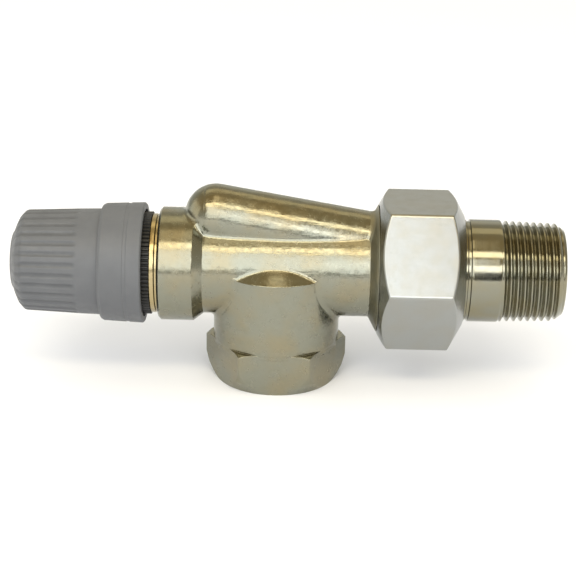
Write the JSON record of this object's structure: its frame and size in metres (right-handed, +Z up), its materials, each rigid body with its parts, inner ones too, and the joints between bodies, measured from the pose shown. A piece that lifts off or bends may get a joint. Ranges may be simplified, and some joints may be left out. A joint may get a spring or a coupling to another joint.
{
  "type": "thermostatic radiator valve",
  "caption": "Axial radiator valve body with screw cap, slanted by-pass lobe, threaded hexagon inlet, union nut and threaded tailpiece.",
  "frame": {"origin": "centre of the inlet mouth, on the face of the inlet hexagon", "axes": "+Z up the inlet bore towards the valve axis, +X along the valve axis from the cap to the radiator tailpiece"},
  "size_m": [0.1431, 0.0428, 0.0518],
  "materials": {
    "nickel_casting": "polished nickel plate over forged brass",
    "nickel_nut": "satin nickel plate",
    "nickel_turned": "turned and nickel plated",
    "brass": "turned",
    "stainless": "ground",
    "spring_steel": "drawn wire",
    "rubber": "matt",
    "white_plastic": "moulded",
    "black_plastic": "moulded",
    "grey_plastic": "moulded, slightly satin"
  },
  "bodies": {
    "root": {"valve_body": "nickel_casting", "valve_insert": "brass", "insert_o_ring": "rubber", "toothed_ring": "black_plastic", "return_spring": "spring_steel"},
    "setting": {"setting_spindle": "brass", "retaining_ring": "spring_steel", "setting_o_ring": "rubber", "gland_nut": "brass", "pin_o_ring": "rubber", "gland_o_ring": "rubber", "gland_washer": "white_plastic", "metering_sleeve": "white_plastic"},
    "stem": {"pressure_pin": "stainless", "spring_cup": "brass", "spindle": "stainless", "disc_holder": "brass", "valve_disc": "rubber", "disc_nut": "brass"},
    "cap": {"screw_cap": "grey_plastic"},
    "tail": {"tailpiece": "nickel_turned", "tail_o_ring": "rubber"},
    "nut": {"union_nut": "nickel_nut"}
  },
  "joints": [
    {"name": "setting_turn", "type": "hinge", "parent": "root", "child": "setting", "pos_m": [0, 0, 0.03], "axis": [1, 0, 0], "range_deg": [0, 240]},
    {"name": "pin_travel", "type": "slide", "parent": "root", "child": "stem", "axis": [1, 0, 0], "range_m": [0, 0.003], "stiffness_N_per_m": 3000, "deforming": ["return_spring"]},
    {"name": "cap_turn", "type": "hinge", "parent": "stem", "child": "cap", "pos_m": [0, 0, 0.03], "axis": [1, 0, 0], "range_deg": [0, 540]},
    {"name": "tail_draw", "type": "slide", "parent": "root", "child": "tail", "axis": [1, 0, 0], "range_m": [0, 0.01154]},
    {"name": "nut_turn", "type": "hinge", "parent": "tail", "child": "nut", "pos_m": [0, 0, 0.03], "axis": [1, 0, 0], "range_deg": [0, 1800]}
  ],
  "couplings": [
    {"joint": "cap_turn", "follows": "pin_travel", "rad_per_m": 3141.6},
    {"joint": "nut_turn", "follows": "tail_draw", "rad_per_m": 2721.2}
  ]
}
